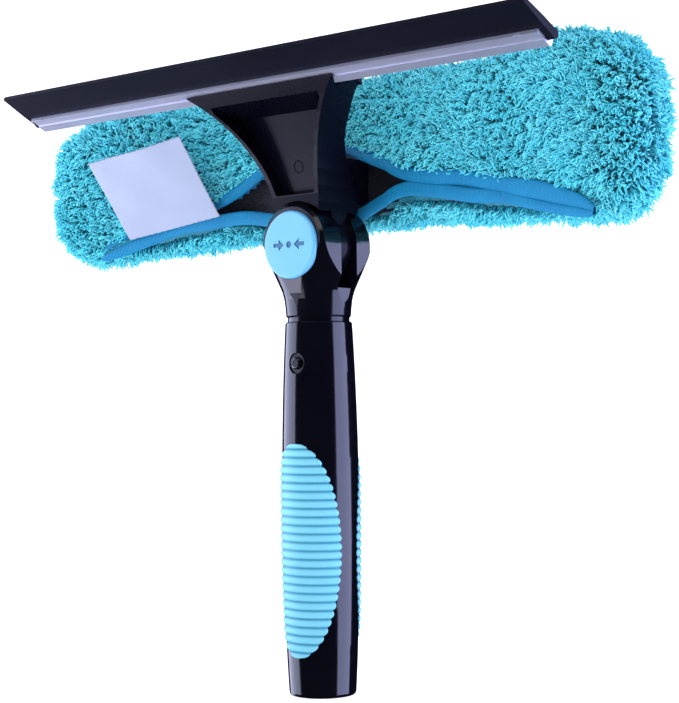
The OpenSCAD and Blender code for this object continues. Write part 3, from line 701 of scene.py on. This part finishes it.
for tape_name, side in (("binding_upper_tape", 1), ("binding_lower_tape", -1)):
    tape_points, tape_u, tape_v, rows, columns = tape_surface(side)
    faces = grid_quads(rows, columns, wrap=True)[:, ::side]
    tape = mesh_piece(tape_name, tape_points, faces, tape_blue, "head")
    uv_from(tape, tape_u, tape_v)
    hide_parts("binding_upper" if side > 0 else "binding_lower")
print("tapes:", len(tape_points), "points each")

# %% [markdown]
# The care label is a blank woven tag, sewn into the lower seam and stiff enough to stand up. It bows a
# little across its width and its free corner turns, so that light falls unevenly over it.

# %% Care label
LABEL_W, LABEL_H = 53, 44
LABEL_CORNER, LABEL_TURN = (-120.8, -1.7, 210), (36.9, -9.2, 11.7)


def label_sheet(rows=60, columns=70):
    """A 53 by 44 mm rectangle with a shallow bow, turned as the CAD label is."""
    a, b = np.linspace(0, LABEL_W, columns)[None, :], np.linspace(0, LABEL_H, rows)[:, None]
    up = b / LABEL_H
    bow = -1.1 * np.sin(np.pi * a / LABEL_W) * up + 0.35 * np.sin(a / 5 + b / 9) * up + 0.9 * up ** 2
    local = np.stack([a + 0 * b + 0.15 * np.sin(b * 2.1), 0.3 + bow, b + 0 * a + 0.12 * np.sin(a * 1.7)], -1)
    rx, ry, rz = np.radians(LABEL_TURN)
    turn_x = np.array([[1, 0, 0], [0, np.cos(rx), -np.sin(rx)], [0, np.sin(rx), np.cos(rx)]])
    turn_y = np.array([[np.cos(ry), 0, np.sin(ry)], [0, 1, 0], [-np.sin(ry), 0, np.cos(ry)]])
    turn_z = np.array([[np.cos(rz), -np.sin(rz), 0], [np.sin(rz), np.cos(rz), 0], [0, 0, 1]])
    points = local.reshape(-1, 3) @ (turn_z @ turn_y @ turn_x).T + np.array(LABEL_CORNER)
    return points, np.tile(a[0], rows), np.repeat(b[:, 0], columns), rows, columns


label_cloth = woven("label_weave", (142, 152, 176), (170, 179, 198), 0.6, 0.00012)
label_points, label_u, label_v, rows, columns = label_sheet()
label_faces = grid_quads(rows, columns)
label = mesh_piece("care_label_cloth", label_points, label_faces, label_cloth, "head")
uv_from(label, label_u, label_v)
wall(label, 0.35, 0.0)
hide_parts("care_label")
print("label:", len(label_points), "points")

# %% [markdown]
# The stage is a pale sweep: a floor that curves up behind the tool. The glossy black parts would mirror
# it and turn grey, so the sweep is hidden from glossy rays only.

# %% Stage
FLOOR_STARTS, BEND_STARTS, BEND_R, HALF_WIDTH, FLOOR_ROWS = -3, 1.6, 1.0, 4.0, 30
quarter_turn = np.linspace(0, 1, 60) * math.pi / 2
wall_at = BEND_STARTS + BEND_R
run = np.concatenate([np.linspace(FLOOR_STARTS, BEND_STARTS, FLOOR_ROWS),
                      BEND_STARTS + np.sin(quarter_turn) * BEND_R, [wall_at, wall_at]])
rise = np.concatenate([np.zeros(FLOOR_ROWS), (1 - np.cos(quarter_turn)) * BEND_R, [2.5, 4.0]])
widths = np.array([-HALF_WIDTH, HALF_WIDTH])
away = -np.array(towards_camera)
ground = (run[:, None, None] * away + rise[:, None, None] * np.array([0, 0, 1.0])
          + widths[None, :, None] * np.array(to_the_right)).reshape(-1, 3)
stage_white = Finish("stage_white", Emission_Color=rgb(255, 255, 255), Emission_Strength=0.55)
stage_white.base(stage_white.colours(stage_white.noise(0.8), rgb(243, 243, 246), rgb(250, 250, 252)))
stage_white.rough(0.9)
sweep_mesh = bpy.data.meshes.new("stage")
sweep_mesh.from_pydata(ground.tolist(), [], grid_quads(len(run), 2).tolist())
sweep_mesh.materials.append(stage_white.material)
sweep_mesh.shade_smooth()
sweep = bpy.data.objects.new("stage", sweep_mesh)
bpy.context.collection.objects.link(sweep)
sweep.visible_glossy = False
print("stage:", len(run) * 2, "points")

# %% [markdown]
# Light is soft and comes from large panels. Two tall panels beside the tool draw the long vertical
# highlights on the handle. A wide panel high in front lights the pile and the grips without showing in
# the upright black surfaces, because its mirror image falls below the view. A card low on the left is
# what the sloping channel mirrors. The world fills the shadows but is hidden from glossy rays.

# %% Lights
def panel(name, place, aim, size, power, colour=(1, 1, 1)):
    """A rectangular area light at a place, facing a point."""
    data = bpy.data.lights.new(name, "AREA")
    data.shape, data.size, data.size_y, data.energy, data.color = "RECTANGLE", *size, power, colour
    made = bpy.data.objects.new(name, data)
    made.location = place
    made.rotation_euler = (Vector(aim) - Vector(place)).to_track_quat("-Z", "Y").to_euler()
    made.visible_camera = False
    bpy.context.collection.objects.link(made)


def around_tool(turn, distance, height):
    """A place at a bearing from the camera's side, positive to the right, in degrees."""
    a = math.radians(turn)
    return (towards_camera * math.cos(a) + to_the_right * math.sin(a)) * distance + upwards * height


middle = (0, 0, 0.16)
panel("panel_right", around_tool(76, 1.1, 0.2), middle, (1.1, 1.4), 29, (0.54, 0.58, 1.0))
panel("panel_left", around_tool(-113, 1.1, 0.2), middle, (1.3, 1.4), 26, (0.66, 0.70, 1.0))
panel("panel_front_high", around_tool(-22, 1.0, 1.35), (0, 0, 0.2), (1.3, 0.9), 8, (1.0, 1.0, 0.96))
panel("panel_top", around_tool(60, 0.4, 1.5), (0, 0, 0.2), (1.2, 1.2), 2)
panel("card_low", (-0.45, -0.40, 0.006), (-0.45, -0.40, 1), (0.8, 0.4), 2.4, (0.86, 0.86, 1.0))
world = bpy.data.worlds.new("studio")
world.use_nodes = True
world.node_tree.nodes["Background"].inputs["Color"].default_value = (0.82, 0.86, 1.0, 1.0)
world.node_tree.nodes["Background"].inputs["Strength"].default_value = 0.70
world.cycles_visibility.glossy = False
bpy.context.scene.world = world
bpy.context.scene.view_settings.view_transform = "Standard"
print("lights:", len(bpy.data.lights))
